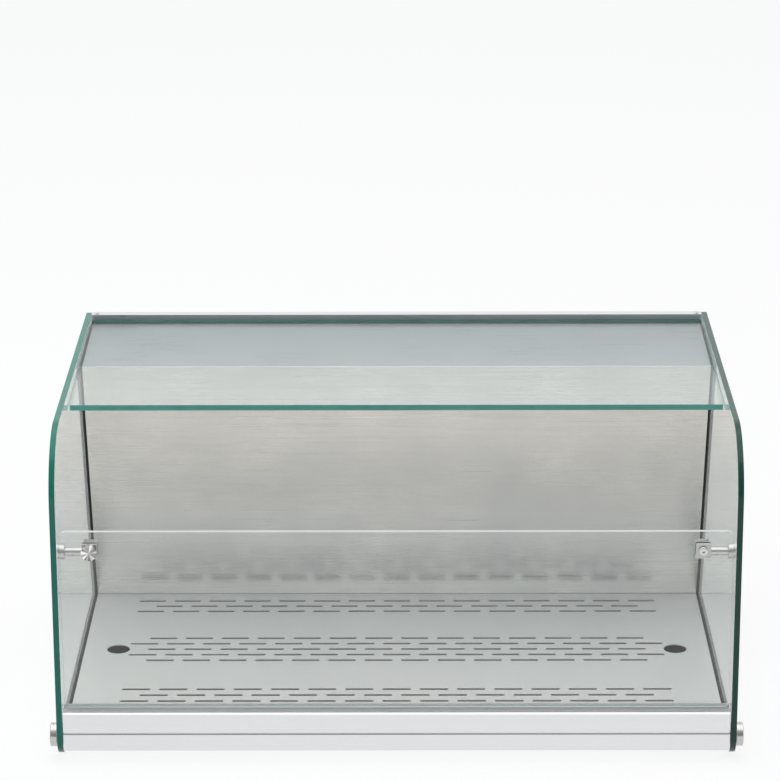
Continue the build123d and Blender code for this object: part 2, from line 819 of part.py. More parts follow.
with BuildPart() as foot_screws:
    with Locations((0, front + foot_front + foot_spacing_y / 2, foot_recess_depth)):
        with GridLocations(foot_spacing_x, foot_spacing_y, 2, 2):
            Cylinder(
                foot_screw_head_diameter / 2,
                foot_screw_head_height,
                align=(Align.CENTER, Align.CENTER, Align.MAX),
            )
            Cylinder(
                foot_screw_diameter / 2,
                foot_height + pan_floor + foot_screw_reach - foot_recess_depth,
                align=(Align.CENTER, Align.CENTER, Align.MIN),
            )
    with BuildSketch(level(base_bottom + pan_floor)):
        with Locations((0, foot_front + foot_spacing_y / 2)):
            with GridLocations(foot_spacing_x, foot_spacing_y, 2, 2):
                RegularPolygon(foot_nut_radius, 6)
    extrude(amount=foot_nut_height)
save(foot_screws.part, "foot_screws")


# Rear panel with air slots, cut out for the controls
louvre_length = 42.0
louvre_width = 5.0
louvre_pitch_x = louvre_length + 8.0
louvre_pitch_z = 12.0
louvre_rows_condenser = 8
louvre_rows_compressor = 5
louvre_rise = 60.0
panel_screw_side_inset = 12.0
panel_screw_foot_inset = 7.0
panel_screw_head_inset = 8.0
panel_screw_diameter = 3.5
panel_screw_hole_diameter = 3.8
panel_screw_head_diameter = 6.4
panel_screw_head_height = 1.8
panel_screw_reach = 8.0
panel_screw_bore_depth = 9.0
panel_half = half_inside - fit_gap
panel_top = rail_bottom
panel_bottom = base_bottom + pan_floor
panel_screw_heights = (panel_bottom + panel_screw_foot_inset, panel_top - panel_screw_head_inset)
panel_screw_offset = panel_half - panel_screw_side_inset
panel_screw_places = [
    (x, z)
    for z in panel_screw_heights
    for x in (-panel_screw_offset, -panel_half / 3, panel_half / 3, panel_screw_offset)
]
with BuildPart() as rear_panel:
    with BuildSketch(facing(rear_panel_outside)):
        with Locations((0, panel_bottom)):
            Rectangle(2 * panel_half, panel_top - panel_bottom, align=(Align.CENTER, Align.MIN))
        with Locations((condenser_middle, condenser_centre)):
            with GridLocations(louvre_pitch_x, louvre_pitch_z, 2, louvre_rows_condenser):
                SlotOverall(louvre_length, louvre_width, mode=Mode.SUBTRACT)
        with Locations((compressor_offset, shelf_top + louvre_rise)):
            with GridLocations(louvre_pitch_x, louvre_pitch_z, 1, louvre_rows_compressor):
                SlotOverall(louvre_length, louvre_width, mode=Mode.SUBTRACT)
        with Locations((controller_offset, controller_height)):
            Rectangle(controller_width, controller_tall, mode=Mode.SUBTRACT)
        with Locations((switch_offset, switch_height)):
            Rectangle(switch_width, switch_tall, mode=Mode.SUBTRACT)
        with Locations((inlet_offset, inlet_height)):
            Rectangle(inlet_width, inlet_tall, mode=Mode.SUBTRACT)
        with Locations(*panel_screw_places):
            Circle(panel_screw_hole_diameter / 2, mode=Mode.SUBTRACT)
    extrude(amount=frame_steel)
save(rear_panel.part, "rear_panel")

with BuildPart() as rear_panel_screws:
    with BuildSketch(facing(rear_panel_outside)):
        with Locations(*panel_screw_places):
            Circle(panel_screw_head_diameter / 2)
    extrude(amount=-panel_screw_head_height)
    with BuildSketch(facing(rear_panel_outside)):
        with Locations(*panel_screw_places):
            Circle(panel_screw_diameter / 2)
    extrude(amount=frame_steel + panel_screw_reach)
save(rear_panel_screws.part, "rear_panel_screws")

with BuildPart() as panel_screw_rails:
    with BuildSketch(across(-half_inside + 1)):
        for place_z in panel_screw_heights:
            with Locations((rear_panel_inside - screw_rail_size / 2, place_z)):
                Rectangle(screw_rail_size, screw_rail_size)
    extrude(amount=2 * (half_inside - 1))
    with BuildSketch(facing(rear_panel_inside)):
        with Locations(*panel_screw_places):
            Circle(panel_screw_diameter / 2 + bolt_clearance / 2)
    extrude(amount=panel_screw_bore_depth, mode=Mode.SUBTRACT)
save(panel_screw_rails.part, "panel_screw_rails")


# Cold room foam: the slab on the rear panel and the wall between cold room and machine room
room_gap = fit_gap
slab_front = rear_panel_inside - foam_thickness
cold_room_left = -half_inside + room_gap
with BuildPart() as cold_room_foam:
    with BuildSketch(facing(rear_panel_inside)):
        with Locations((cold_room_left, tray_top + 1)):
            Rectangle(
                cold_room_right + foam_thickness - cold_room_left,
                foam_top - tray_top - 1,
                align=(Align.MIN, Align.MIN),
            )
    extrude(amount=foam_thickness)
    with BuildSketch(across(cold_room_right)):
        with BuildLine():
            Polyline(
                (wall_behind(liner_floor_top, steel) + room_gap, liner_floor_top),
                (liner_back - steel - room_gap, liner_floor_top),
                (liner_back - steel - room_gap, tray_top + 1),
                (slab_front, tray_top + 1),
                (slab_front, foam_top),
                (wall_behind(foam_top, steel) + room_gap, foam_top),
                close=True,
            )
        make_face()
    extrude(amount=foam_thickness)
    with BuildSketch(across(cold_room_right)):
        with Locations(
            (evaporator_back, evaporator_bottom + coil_pitch / 2),
            (evaporator_back, evaporator_bottom + coil_pitch * (coil_rows - 0.5)),
        ):
            Circle(pipe_diameter / 2 + 1)
    extrude(amount=foam_thickness, mode=Mode.SUBTRACT)
save(cold_room_foam.part, "cold_room_foam")


# Evaporator and condenser: a serpentine coil through a pack of fins
def coil(left, width, back, bottom, start_side):
    """A flat serpentine tube whose two ends lie on start_side, 1 for the right and -1 for the left."""
    near = left + width + coil_overhang if start_side > 0 else left - coil_overhang
    far = left - coil_overhang if start_side > 0 else left + width + coil_overhang
    with BuildPart() as tube:
        with BuildLine(facing(back)) as route:
            for row in range(coil_rows):
                z = bottom + coil_pitch * (row + 0.5)
                start, end = (near, far) if row % 2 == 0 else (far, near)
                Line((start, z), (end, z))
                if row < coil_rows - 1:
                    bulge = coil_pitch / 2 if end > start else -coil_pitch / 2
                    ThreePointArc((end, z), (end + bulge, z + coil_pitch / 2), (end, z + coil_pitch))
        with BuildSketch(Plane(origin=route.line @ 0, z_dir=route.line % 0)):
            Circle(coil_tube_diameter / 2)
        sweep()
    return tube.part


def fins(left, width, pitch, back, depth, bottom, plate_back):
    """A pack of thin fins with a thicker end plate at each side, whose rear edge reaches plate_back."""
    rows = [(back, bottom + coil_pitch * (row + 0.5)) for row in range(coil_rows)]
    tall = coil_pitch * coil_rows
    hole = coil_tube_diameter / 2 + coil_hole_clearance
    with BuildPart() as pack:
        for number in range(round(width / pitch) + 1):
            is_end = number in (0, round(width / pitch))
            thickness = end_plate_thickness if is_end else fin_thickness
            rear = plate_back if is_end else back + depth / 2
            with BuildSketch(across(left + number * pitch - thickness / 2)):
                with Locations((back - depth / 2, bottom)):
                    Rectangle(rear - back + depth / 2, tall, align=(Align.MIN, Align.MIN))
                with Locations(*rows):
                    Circle(hole, mode=Mode.SUBTRACT)
            extrude(amount=thickness)
    return pack.part


save(coil(evaporator_left, evaporator_width, evaporator_back, evaporator_bottom, 1), "evaporator_coil")
save(
    fins(
        evaporator_left,
        evaporator_width,
        evaporator_fin_pitch,
        evaporator_back,
        evaporator_depth,
        evaporator_bottom,
        slab_front - 0.1,
    ),
    "evaporator_fins",
)
save(coil(condenser_left, condenser_width, condenser_back, condenser_bottom, -1), "condenser_coil")
save(
    fins(
        condenser_left,
        condenser_width,
        condenser_fin_pitch,
        condenser_back,
        condenser_depth,
        condenser_bottom,
        rear_panel_inside,
    ),
    "condenser_fins",
)


# Fans: a square frame with a bored ring and a hub plate on spokes, and a seven-blade rotor
fan_bore = fan_size / 2 - fan_bore_wall


def fan_frame(plane):
    """A fan frame that stands on the plane, with its hub plate next to the plane."""
    with BuildPart() as frame:
        with BuildSketch(plane):
            RectangleRounded(fan_size, fan_size, fan_corner_radius)
            Circle(fan_bore, mode=Mode.SUBTRACT)
            with GridLocations(fan_hole_spacing, fan_hole_spacing, 2, 2):
                Circle(2.2, mode=Mode.SUBTRACT)
        extrude(amount=fan_depth)
        with BuildSketch(plane):
            Circle(fan_hub_diameter / 2)
            with PolarLocations((fan_bore + fan_hub_diameter / 2) / 2, 4):
                Rectangle(fan_bore - fan_hub_diameter / 2 + 3, 4)
            Circle(fan_shaft_diameter / 2 + running_clearance, mode=Mode.SUBTRACT)
        extrude(amount=fan_hub_plate)
    return frame.part


def fan_rotor(plane):
    """The rotor that turns in such a frame, its shaft in the hub plate."""
    rotor_start = fan_hub_plate + 1
    rotor_length = fan_depth - rotor_start - 1
    tip = fan_bore - fan_tip_gap
    upward = (Align.CENTER, Align.CENTER, Align.MIN)
    with BuildPart() as rotor:
        with Locations((0, 0, rotor_start)):
            Cylinder(fan_hub_diameter / 2, rotor_length, align=upward)
        with PolarLocations(0, fan_blades):
            with Locations(Location((tip / 2 + 2, 0, rotor_start + rotor_length / 2), (fan_blade_pitch, 0, 0))):
                Box(tip, fan_blade_chord, fan_blade_thickness)
        with Locations((0, 0, rotor_start)):
            Cylinder(tip, rotor_length, align=upward, mode=Mode.INTERSECT)
        with Locations((0, 0, 0.5)):
            Cylinder(fan_shaft_diameter / 2, rotor_start, align=upward)
    return rotor.part.moved(plane.location)


def fan_floor(x):
    """Plane of the lower face of an evaporator fan under the fan plate."""
    return Plane(origin=(x, front + fan_back, glass_lift + fan_plate_height - fan_depth))


with BuildPart() as evaporator_fan_frames:
    for side, fan_x in fan_offsets:
        add(fan_frame(fan_floor(fan_x)))
save(evaporator_fan_frames.part, "evaporator_fan_frames")
for side, fan_x in fan_offsets:
    save(fan_rotor(fan_floor(fan_x)), f"evaporator_fan_rotor_{side}")

condenser_fan_plane = Plane(
    origin=(condenser_middle, front + condenser_back - condenser_depth / 2, glass_lift + condenser_centre),
    x_dir=(1, 0, 0),
    z_dir=(0, -1, 0),
)
save(fan_frame(condenser_fan_plane), "condenser_fan_frame")
save(fan_rotor(condenser_fan_plane), "condenser_fan_rotor")

plate_front = wall_behind(fan_plate_height, steel) + room_gap
with BuildPart() as fan_plate:
    with BuildSketch(level(fan_plate_height)):
        with Locations((cold_room_left, plate_front)):
            Rectangle(
                cold_room_right - cold_room_left - room_gap,
                slab_front - room_gap - plate_front,
                align=(Align.MIN, Align.MIN),
            )
        with Locations(*[(fan_x, fan_back) for side, fan_x in fan_offsets]):
            Circle(fan_bore, mode=Mode.SUBTRACT)
    extrude(amount=fan_plate_thickness)
save(fan_plate.part, "fan_plate")


# Compressor on its shelf, with four rubber grommets under its foot plate
shelf_left = cold_room_right + foam_thickness + 1
with BuildPart() as compressor_shelf:
    with BuildSketch(level(shelf_top)):
        with Locations((shelf_left, shelf_front)):
            Rectangle(
                foot_plate_width + 2,
                rear_panel_inside - shelf_front,
                align=(Align.MIN, Align.MIN),
            )
    extrude(amount=-shelf_thickness)
    with BuildSketch(facing(rear_panel_inside)):
        with Locations((shelf_left, shelf_top)):
            Rectangle(foot_plate_width + 2, shelf_flange, align=(Align.MIN, Align.MAX))
    extrude(amount=shelf_thickness)
save(compressor_shelf.part, "compressor_shelf")

with BuildPart() as compressor_grommets:
    with BuildSketch(level(shelf_top)):
        with Locations((compressor_offset, compressor_back)):
            with GridLocations(grommet_spacing_x, grommet_spacing_y, 2, 2):
                Circle(grommet_diameter / 2)
    extrude(amount=grommet_height)
save(compressor_grommets.part, "compressor_grommets")

suction_height = evaporator_bottom + coil_pitch * (coil_rows - 0.5)
shell_bottom = shelf_top + grommet_height + foot_plate_thickness
shell_top = shell_bottom + compressor_height
discharge_offset = compressor_offset + 15
terminal_box_bottom = 180.0
terminal_box_size = (18.0, 30.0, 40.0)
terminal_box_right = compressor_offset + compressor_diameter / 2 + 12
suction_stub_left = compressor_offset - compressor_diameter / 2 - 2
with BuildPart() as compressor:
    with BuildSketch(level(shell_bottom)):
        with Locations((compressor_offset, compressor_back)):
            Circle(compressor_diameter / 2)
    extrude(amount=compressor_height)
    fillet(compressor.edges().filter_by(GeomType.CIRCLE), compressor_end_radius)
    with BuildSketch(level(shell_bottom)):
        with Locations((compressor_offset, compressor_back)):
            RectangleRounded(foot_plate_width, foot_plate_depth, 5)
    extrude(amount=-foot_plate_thickness)
    with BuildSketch(level(terminal_box_bottom)):
        with Locations((terminal_box_right, compressor_back)):
            Rectangle(
                terminal_box_size[0], terminal_box_size[1], align=(Align.MAX, Align.CENTER)
            )
    extrude(amount=terminal_box_size[2])
    with BuildSketch(level(shell_top - 4)):
        with Locations((discharge_offset, compressor_back)):
            Circle(pipe_diameter / 2 + 1.5)
    extrude(amount=8)
    with BuildSketch(across(suction_stub_left)):
        with Locations((evaporator_back, suction_height)):
            Circle(pipe_diameter / 2 + 1.5)
    extrude(amount=12)
save(compressor.part, "compressor")


# Filter drier and the refrigerant pipes
with BuildPart() as filter_drier:
    with BuildSketch(level(drier_bottom)):
        with Locations((drier_offset, drier_back)):
            Circle(drier_diameter / 2)
    extrude(amount=drier_length)
    fillet(filter_drier.edges().filter_by(GeomType.CIRCLE), 4)
save(filter_drier.part, "filter_drier")


def tube(points, diameter, radius):
    """A bent tube through points given as X, distance behind the front edge and height."""
    places = [(x, front + y, glass_lift + z) for x, y, z in points]
    with BuildPart() as bent:
        with BuildLine() as route:
            if len(places) > 2:
                FilletPolyline(*places, radius=radius)
            else:
                Line(*places)
        with BuildSketch(Plane(origin=route.line @ 0, z_dir=route.line % 0)):
            Circle(diameter / 2)
        sweep()
    return bent.part


evaporator_end = evaporator_left + evaporator_width + coil_overhang
condenser_end = condenser_left - coil_overhang
liquid_height = evaporator_bottom + coil_pitch / 2
condenser_out = condenser_bottom + coil_pitch / 2
condenser_in = condenser_bottom + coil_pitch * (coil_rows - 0.5)
pipe_top = shell_top + 22
riser_offset = condenser_end - 19
drier_top = drier_bottom + drier_length
capillary_height = drier_bottom - 11
pipe_routes = (
    (
        (discharge_offset, compressor_back, shell_top + 4),
        (discharge_offset, compressor_back, pipe_top),
        (discharge_offset, condenser_back, pipe_top),
        (riser_offset, condenser_back, pipe_top),
        (riser_offset, condenser_back, condenser_in),
        (condenser_end, condenser_back, condenser_in),
    ),
    (
        (condenser_end, condenser_back, condenser_out),
        (condenser_end - 14, condenser_back, condenser_out),
        (condenser_end - 14, condenser_back, drier_top + 9),
        (drier_offset, drier_back, drier_top + 9),
        (drier_offset, drier_back, drier_top),
    ),
    (
        (drier_offset, drier_back, drier_bottom),
        (drier_offset, drier_back, capillary_height),
        (shelf_left + 30, evaporator_back, capillary_height),
        (shelf_left + 15, evaporator_back, liquid_height),
        (evaporator_end, evaporator_back, liquid_height),
    ),
    (
        (evaporator_end, evaporator_back, suction_height),
        (suction_stub_left, evaporator_back, suction_height),
    ),
)
with BuildPart() as refrigerant_pipes:
    for points in pipe_routes:
        add(tube(points, pipe_diameter, pipe_bend_radius))
save(refrigerant_pipes.part, "refrigerant_pipes")


# Controller with three buttons, on the rear panel
bezel_back = rear_panel_outside + bezel_thickness
button_places = [
    (name, controller_offset + 8 + button_pitch * number)
    for number, name in enumerate(("set", "up", "down"))
]
button_front = bezel_back + 0.2 - button_length
with BuildPart() as controller:
    with BuildSketch(facing(rear_panel_outside)):
        with Locations((controller_offset, controller_height)):
            Rectangle(controller_width - cutout_gap, controller_tall - cutout_gap)
    extrude(amount=controller_length)
    with BuildSketch(facing(rear_panel_outside)):
        with Locations((controller_offset, controller_height)):
            RectangleRounded(controller_width + 2 * bezel_margin, controller_tall + 2 * bezel_margin, 3)
    extrude(amount=-bezel_thickness)
    with BuildSketch(facing(bezel_back)):
        with Locations((controller_offset - 17, controller_height)):
            Rectangle(window_width, window_tall)
    extrude(amount=0.8, mode=Mode.SUBTRACT)
    with BuildSketch(facing(bezel_back)):
        with Locations(*[(x, controller_height) for name, x in button_places]):
            Rectangle(button_width + 2 * button_gap, button_tall + 2 * button_gap)
    extrude(amount=bezel_back - button_front + button_travel + 0.2, mode=Mode.SUBTRACT)
save(controller.part, "controller")

for name, button_x in button_places:
    with BuildPart() as button:
        with BuildSketch(facing(button_front)):
            with Locations((button_x, controller_height)):
                RectangleRounded(button_width, button_tall, 1)
        extrude(amount=-button_length)
        chamfer(button.faces().sort_by(Axis.Y)[-1].edges(), 0.3)
    save(button.part, f"button_{name}")


# Rocker switch: the rocker rests with its upper end pressed in, and tips by twice the tilt
switch_back = rear_panel_outside + switch_bezel_thickness
with BuildPart() as switch_body:
    with BuildSketch(facing(rear_panel_outside)):
        with Locations((switch_offset, switch_height)):
            Rectangle(switch_width - cutout_gap, switch_tall - cutout_gap)
    extrude(amount=switch_length)
    with BuildSketch(facing(rear_panel_outside)):
        with Locations((switch_offset, switch_height)):
            RectangleRounded(switch_width + 2 * switch_bezel_margin, switch_tall + 2 * switch_bezel_margin, 2)
    extrude(amount=-switch_bezel_thickness)
    with BuildSketch(facing(switch_back)):
        with Locations((switch_offset, switch_height)):
            Rectangle(switch_width - 2 * switch_wall - cutout_gap, switch_tall - 2 * switch_wall)
    extrude(amount=switch_back - rocker_pivot_back + rocker_tall / 2, mode=Mode.SUBTRACT)
    with BuildSketch(across(switch_offset)):
        with Locations((rocker_pivot_back, switch_height)):
            Circle(rocker_pivot_diameter / 2 + running_clearance)
    extrude(amount=switch_width / 2 - 1, both=True, mode=Mode.SUBTRACT)
save(switch_body.part, "switch_body")

rocker_half = switch_width / 2 - switch_wall - 0.2 - button_gap
tilt = radians(rocker_tilt)
rocker_plane = Plane(
    origin=(switch_offset, front + rocker_pivot_back, glass_lift + switch_height),
    x_dir=(0, cos(tilt), sin(tilt)),
    z_dir=(1, 0, 0),
)
with BuildPart() as switch_rocker:
    with BuildSketch(rocker_plane):
        with BuildLine():
            Polyline(
                (-rocker_inner, -rocker_tall / 2 + 3),
                (rocker_outer + 1, -rocker_tall / 2),
                (rocker_outer, 0),
                (rocker_outer + 1, rocker_tall / 2),
                (-rocker_inner, rocker_tall / 2 - 3),
                close=True,
            )
        make_face()
    extrude(amount=rocker_half, both=True)
    with BuildSketch(rocker_plane):
        Circle(rocker_pivot_diameter / 2)
    extrude(amount=switch_width / 2 - 1.4, both=True)
save(switch_rocker.part, "switch_rocker")


# Mains inlet with its three pins
inlet_back = rear_panel_outside + inlet_flange_thickness
with BuildPart() as mains_inlet:
    with BuildSketch(facing(rear_panel_outside)):
        with Locations((inlet_offset, inlet_height)):
            Rectangle(inlet_width - cutout_gap, inlet_tall - cutout_gap)
    extrude(amount=inlet_length)
    with BuildSketch(facing(rear_panel_outside)):
        with Locations((inlet_offset, inlet_height)):
            RectangleRounded(inlet_flange_width, inlet_flange_tall, 4)
    extrude(amount=-inlet_flange_thickness)
    with BuildSketch(facing(inlet_back)):
        with Locations((inlet_offset, inlet_height)):
            Rectangle(inlet_width - 2 * inlet_wall, inlet_tall - 2 * inlet_wall)
    extrude(amount=inlet_recess_depth, mode=Mode.SUBTRACT)
    with BuildSketch(facing(inlet_back - inlet_recess_depth)):
        with Locations((inlet_offset, inlet_height)):
            with Locations((-7, -2), (0, 3), (7, -2)):
                Rectangle(2, 4)
    extrude(amount=-inlet_pin_length)
save(mains_inlet.part, "mains_inlet")


# Wiring loom: inlet to switch, switch to controller, controller to the compressor and the condenser fan
inlet_inner = rear_panel_outside - inlet_length
switch_inner = rear_panel_outside - switch_length
controller_inner = rear_panel_outside - controller_length
terminal_height = terminal_box_bottom + terminal_box_size[2] / 2
terminal_wire_back = controller_inner - 14
fan_front = condenser_back - condenser_depth / 2 - fan_depth
fan_corner = fan_hole_spacing / 2 - 2
fan_wire_offset = condenser_middle - fan_corner + 3
fan_wire_height = condenser_centre - fan_corner + 8
wire_routes = (
    (
        (inlet_offset, inlet_inner, inlet_height),
        (inlet_offset, inlet_inner - 16, inlet_height),
        (inlet_offset, switch_inner - 16, switch_height),
        (inlet_offset, switch_inner, switch_height),
    ),
    (
        (switch_offset - 6, switch_inner, switch_height + 8),
        (switch_offset - 6, controller_inner - 15, switch_height + 8),
        (controller_offset + 20, controller_inner - 15, controller_height),
        (controller_offset + 20, controller_inner, controller_height),
    ),
    (
        (controller_offset - 20, controller_inner, controller_height),
        (controller_offset - 20, terminal_wire_back, controller_height),
        (terminal_box_right + 18, terminal_wire_back, controller_height + 20),
        (terminal_box_right + 18, compressor_back - 6, terminal_height),
        (terminal_box_right, compressor_back - 6, terminal_height),
    ),
    (
        (controller_offset, controller_inner, controller_height),
        (controller_offset, controller_inner - 28, controller_height),
        (fan_wire_offset, fan_front - 16, fan_wire_height),
        (fan_wire_offset, fan_front, fan_wire_height),
    ),
)
with BuildPart() as wiring_loom:
    for points in wire_routes:
        add(tube(points, wire_diameter, wire_bend_radius))
save(wiring_loom.part, "wiring_loom")
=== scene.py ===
import math

import bpy
from mathutils import Euler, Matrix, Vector


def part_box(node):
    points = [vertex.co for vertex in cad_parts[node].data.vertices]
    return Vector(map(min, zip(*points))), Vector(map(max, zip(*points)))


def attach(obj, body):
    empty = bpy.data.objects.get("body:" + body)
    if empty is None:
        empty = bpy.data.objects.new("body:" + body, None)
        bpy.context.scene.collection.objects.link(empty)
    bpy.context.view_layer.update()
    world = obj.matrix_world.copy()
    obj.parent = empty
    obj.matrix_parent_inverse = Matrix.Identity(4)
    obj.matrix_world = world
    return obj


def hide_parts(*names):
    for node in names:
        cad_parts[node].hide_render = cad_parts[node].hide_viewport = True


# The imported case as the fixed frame, and its box before anything is dressed
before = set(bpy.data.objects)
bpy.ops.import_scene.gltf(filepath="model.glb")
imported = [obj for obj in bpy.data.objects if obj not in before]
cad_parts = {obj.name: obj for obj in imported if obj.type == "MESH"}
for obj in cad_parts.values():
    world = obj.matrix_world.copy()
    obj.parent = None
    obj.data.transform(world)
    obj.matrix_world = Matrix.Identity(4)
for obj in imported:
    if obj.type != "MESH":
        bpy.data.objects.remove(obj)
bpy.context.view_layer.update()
scene = bpy.context.scene
scene.view_settings.view_transform = "Standard"


# Camera. The case is seen straight on and from above, with a long lens,
# so its sides hardly close in towards the back.
camera_place = (0.0048, -3.4274, 1.4351)
camera_pitch = 17.84
camera_roll = 0.122
camera_turn = 0.154
camera_lens = 155.5
camera_sensor = 36.0

camera_data = bpy.data.cameras.new("studio_camera")
camera_data.lens = camera_lens
camera_data.sensor_width = camera_sensor
camera_data.dof.use_dof = False
camera = bpy.data.objects.new("studio_camera", camera_data)
scene.collection.objects.link(camera)
camera.location = camera_place
camera_angles = (90 - camera_pitch, camera_roll, camera_turn)
camera.rotation_euler = Euler([math.radians(angle) for angle in camera_angles], "XYZ")
scene.camera = camera


# Studio. A white room that metal and glass show too, darker at the front where it is mirrored,
# a wide soft lamp above the case and a weaker one on its left, and pale paper on the floor.
surround_colour = (0.97, 0.985, 1.0, 1.0)
surround_strength = 0.46
backdrop_colour = (1.0, 1.0, 1.0, 1.0)
backdrop_strength = 1.0
mirrored_colour = (0.98, 0.99, 1.0, 1.0)
mirrored_dark = 0.3
mirrored_light = 1.0
mirrored_dark_at = -0.95
mirrored_light_at = -0.35
floor_colour = (0.22, 0.222, 0.225, 1.0)
floor_glow = (0.83, 0.83, 0.83, 1.0)
floor_size = 30.0


def fill(tree, node, inputs):
    """Gives each named or numbered input of a node its link or plain value."""
    for socket, value in inputs.items():
        if isinstance(value, bpy.types.NodeSocket):
            tree.links.new(value, node.inputs[socket])
        else:
            node.inputs[socket].default_value = value


def add_node(tree, kind, inputs=None, **settings):
    """A new node of a kind, with its settings made before its inputs are filled."""
    node = tree.nodes.new(kind)
    for setting, value in settings.items():
        setattr(node, setting, value)
    fill(tree, node, inputs or {})
    return node


def maths(tree, operation, *values):
    """The result of one operation on links or plain numbers."""
    return add_node(tree, "ShaderNodeMath", dict(enumerate(values)), operation=operation).outputs[0]


def spread(tree, factor, low, high, start=0.3, end=0.7):
    """Takes a factor from start..end to low..high."""
    reach = {"Value": factor, "From Min": start, "From Max": end, "To Min": low, "To Max": high}
    return add_node(tree, "ShaderNodeMapRange", reach).outputs[0]


def mix_shaders(tree, factor, first, second):
    """The first shader where the factor is 0, and the second where it is 1."""
    return add_node(tree, "ShaderNodeMixShader", {0: factor, 1: first.outputs[0], 2: second.outputs[0]})


def seen_ray(tree):
    """1 for a ray from the camera, metal or glass, and 0 for one that a matt surface sends on."""
    rays = add_node(tree, "ShaderNodeLightPath")
    seen = maths(tree, "MAXIMUM", rays.outputs["Is Camera Ray"], rays.outputs["Is Glossy Ray"])
    return maths(tree, "MAXIMUM", seen, rays.outputs["Is Transmission Ray"])


def new_material(name):
    """A new node material and its tree."""
    material = bpy.data.materials.new(name)
    material.use_nodes = True
    return material, material.node_tree


def soft_lamp(name, place, target, size, power, colour):
    """A square soft lamp at a place, facing a target."""
    data = bpy.data.lights.new(name, "AREA")
    data.shape = "SQUARE"
    data.size = size
    data.energy = power
    data.color = colour
    lamp = bpy.data.objects.new(name, data)
    lamp.location = place
    lamp.rotation_euler = (Vector(target) - Vector(place)).to_track_quat("-Z", "Y").to_euler()
    scene.collection.objects.link(lamp)


world = bpy.data.worlds.new("studio_surround")
scene.world = world
world.use_nodes = True
room = world.node_tree
room.nodes.clear()
direction = add_node(room, "ShaderNodeTexCoord")
direction_parts = add_node(room, "ShaderNodeSeparateXYZ", {0: direction.outputs["Generated"]})
mirrored_strength = spread(
    room, direction_parts.outputs["Y"], mirrored_dark, mirrored_light, mirrored_dark_at, mirrored_light_at
)
surround, backdrop, mirrored = [
    add_node(room, "ShaderNodeBackground", {"Color": colour, "Strength": strength})
    for colour, strength in (
        (surround_colour, surround_strength),
        (backdrop_colour, backdrop_strength),
        (mirrored_colour, mirrored_strength),
    )
]
room_rays = add_node(room, "ShaderNodeLightPath")
seen_room = mix_shaders(room, room_rays.outputs["Is Glossy Ray"], backdrop, mirrored)
whole_room = mix_shaders(room, seen_ray(room), surround, seen_room)
add_node(room, "ShaderNodeOutputWorld", {"Surface": whole_room.outputs[0]})

soft_lamp(
    "lamp_above",
    place=(-0.3, 0.1, 3.0),
    target=(0.0, 0.0, 0.1),
    size=3.6,
    power=34.0,
    colour=(1.0, 0.985, 0.96),
)
soft_lamp(
    "lamp_left",
    place=(-2.4, -1.6, 1.6),
    target=(0.0, 0.0, 0.2),
    size=1.6,
    power=9.0,
    colour=(0.98, 0.99, 1.0),
)

floor_paper, paper = new_material("floor_paper")
paper.nodes.clear()
paper_face = add_node(paper, "ShaderNodeBsdfDiffuse", {"Color": floor_colour})
paper_glow = add_node(paper, "ShaderNodeEmission", {"Color": floor_glow, "Strength": seen_ray(paper)})
paper_sum = add_node(paper, "ShaderNodeAddShader", {0: paper_face.outputs[0], 1: paper_glow.outputs[0]})
add_node(paper, "ShaderNodeOutputMaterial", {"Surface": paper_sum.outputs[0]})

half_floor = floor_size / 2
floor_corners = [(x * half_floor, y * half_floor, 0.0) for x, y in ((-1, -1), (1, -1), (1, 1), (-1, 1))]
floor_mesh = bpy.data.meshes.new("studio_floor")
floor_mesh.from_pydata(floor_corners, [], [(0, 1, 2, 3)])
floor_mesh.materials.append(floor_paper)
studio_floor = bpy.data.objects.new("studio_floor", floor_mesh)
scene.collection.objects.link(studio_floor)


# Rubber feet, grommets, cap washers and the long seals beside the steelwork.
# Moulded and extruded black rubber: matt, with a fine skin and a little dust on it.
rubber_dark = (0.012, 0.012, 0.013)
rubber_dusty = (0.035, 0.034, 0.033)
rubber_rough = (0.45, 0.7)
rubber_gloss = 0.35
rubber_dust_scale = 60.0
rubber_skin_scale = 1500.0
rubber_skin_depth = 0.00005


def noise(tree, scale, stretch=(1, 1, 1), detail=3.0):
    """Noise on the object's own coordinates, drawn out by stretch."""
    place = add_node(tree, "ShaderNodeTexCoord")
    drawn_out = {"Vector": place.outputs["Object"], "Scale": stretch}
    mapping = add_node(tree, "ShaderNodeMapping", drawn_out, vector_type="TEXTURE")
    pattern = {"Vector": mapping.outputs[0], "Scale": scale, "Detail": detail}
    return add_node(tree, "ShaderNodeTexNoise", pattern).outputs["Fac"]


def between(tree, factor, first, second):
    """A colour between two, by a factor."""
    ends = {"Factor": factor, "A": (*first, 1.0), "B": (*second, 1.0)}
    return add_node(tree, "ShaderNodeMix", ends, data_type="RGBA").outputs["Result"]


def relief(tree, height, depth):
    """A bump of a real depth in metres."""
    bump = {"Height": height, "Distance": depth, "Strength": 1.0}
    return add_node(tree, "ShaderNodeBump", bump).outputs[0]


def finish(tree, inputs):
    """Fills inputs of a material's own shader."""
    fill(tree, tree.nodes["Principled BSDF"], inputs)


def dress(material, *names):
    """Gives CAD nodes this material."""
    for name in names:
        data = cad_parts[name].data
        data.materials.clear()
        data.materials.append(material)


rubber, tree = new_material("black_rubber")
dust = noise(tree, rubber_dust_scale, detail=5.0)
skin = noise(tree, rubber_skin_scale, detail=2.0)
finish(
    tree,
    {
        "Base Color": between(tree, dust, rubber_dark, rubber_dusty),
        "Roughness": spread(tree, dust, *rubber_rough),
        "Specular IOR Level": rubber_gloss,
        "Normal": relief(tree, skin, rubber_skin_depth),
    },
)
dress(rubber, "feet", "cap_washers", "compressor_grommets", "side_seal_left", "side_seal_right")


